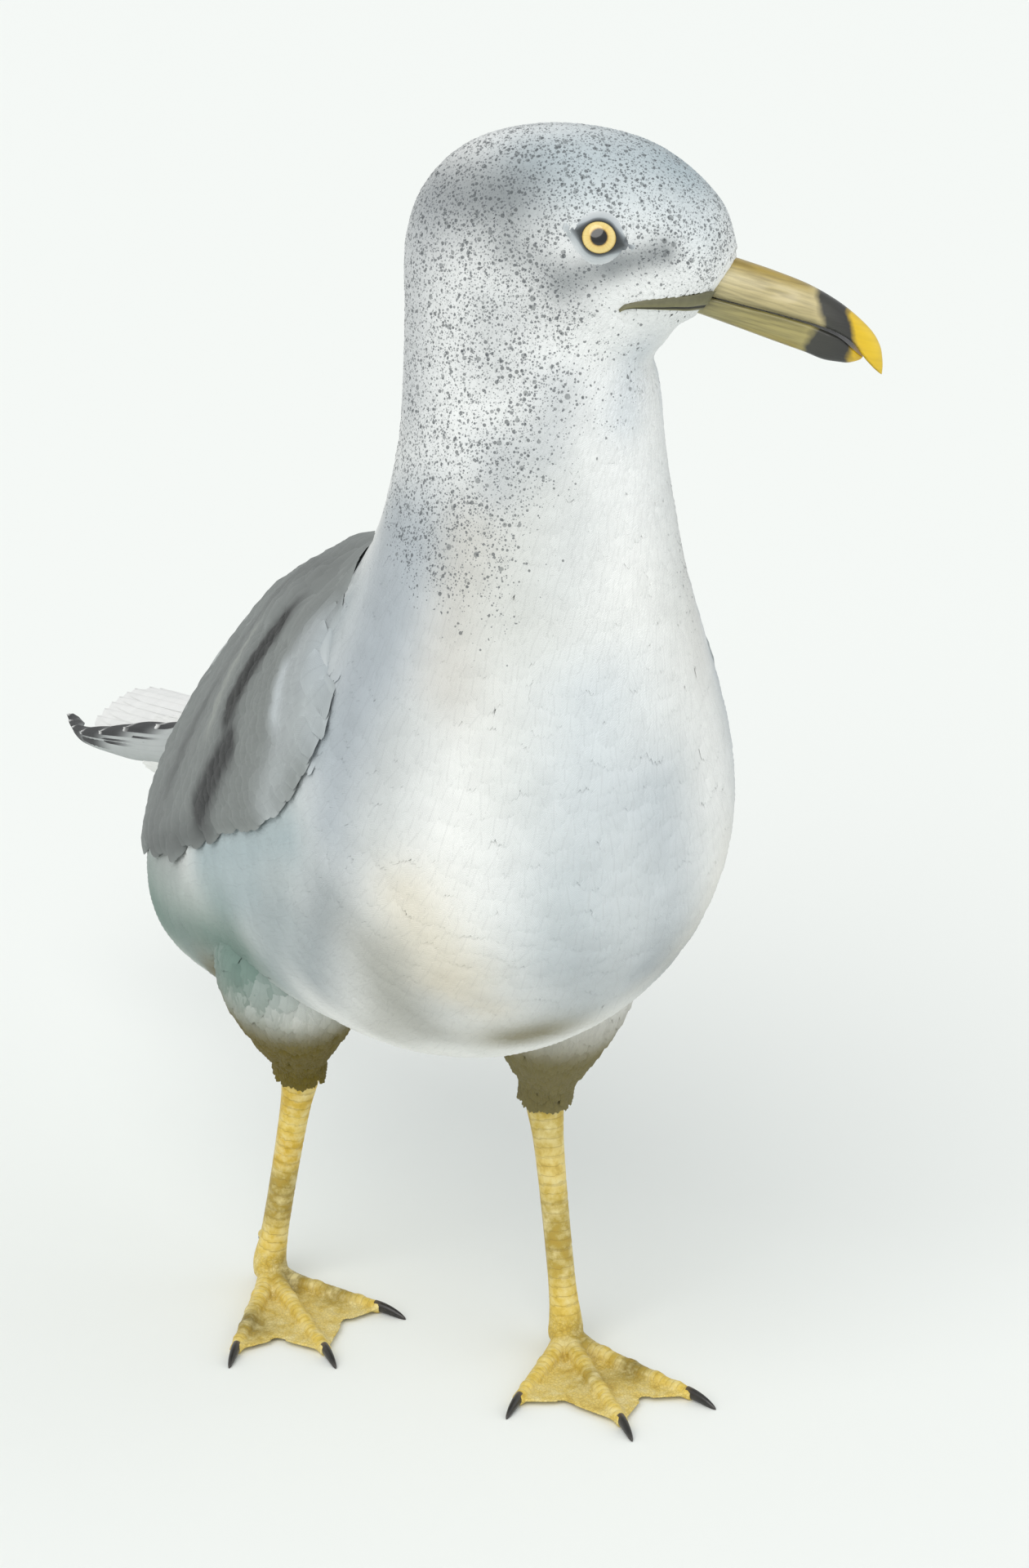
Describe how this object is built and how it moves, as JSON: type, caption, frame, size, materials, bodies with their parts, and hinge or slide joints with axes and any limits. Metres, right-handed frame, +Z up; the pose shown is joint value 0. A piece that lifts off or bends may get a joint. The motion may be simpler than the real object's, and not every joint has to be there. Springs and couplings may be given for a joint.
{
  "type": "ring-billed gull",
  "caption": "Life-size standing gull, one foot ahead, head turned to its left, wings folded along the body over a short tail; the webbed feet stand flat.",
  "frame": {"origin": "on the floor under the middle of the bird's outline box", "axes": "+Z up, the bird's trunk faces -Y, its left side is +X"},
  "size_m": [0.1126, 0.3348, 0.2981],
  "materials": {
    "plumage_white": "soft white breast, belly, rump and tail feathers",
    "plumage_grey": "mid-grey back and wing feathers",
    "plumage_black": "black flight feathers of the wing tip",
    "plumage_speckled": "white head and neck feathers flecked with dark grey",
    "plumage_stained": "thigh feathers stained olive brown",
    "leg": "scaly yellow skin",
    "bill": "horn, dull yellow with a black ring near its tip",
    "claw": "black horn",
    "eye": "wet eye with a pale yellow iris"
  },
  "bodies": {
    "root": {"back": "plumage_grey", "belly": "plumage_white", "bill_lower": "bill", "bill_upper": "bill", "breast": "plumage_white", "claw_left_hallux": "claw", "claw_left_inner": "claw", "claw_left_middle": "claw", "claw_left_outer": "claw", "claw_right_hallux": "claw", "claw_right_inner": "claw", "claw_right_middle": "claw", "claw_right_outer": "claw", "eye_left": "eye", "eye_right": "eye", "foot_left": "leg", "foot_right": "leg", "hallux_left": "leg", "hallux_right": "leg", "head": "plumage_speckled", "neck": "plumage_speckled", "primaries_left": "plumage_black", "primaries_right": "plumage_black", "rump": "plumage_white", "shank_left": "leg", "shank_right": "leg", "tail": "plumage_white", "thigh_left": "plumage_stained", "thigh_right": "plumage_stained", "wing_left": "plumage_grey", "wing_right": "plumage_grey"}
  },
  "joints": []
}
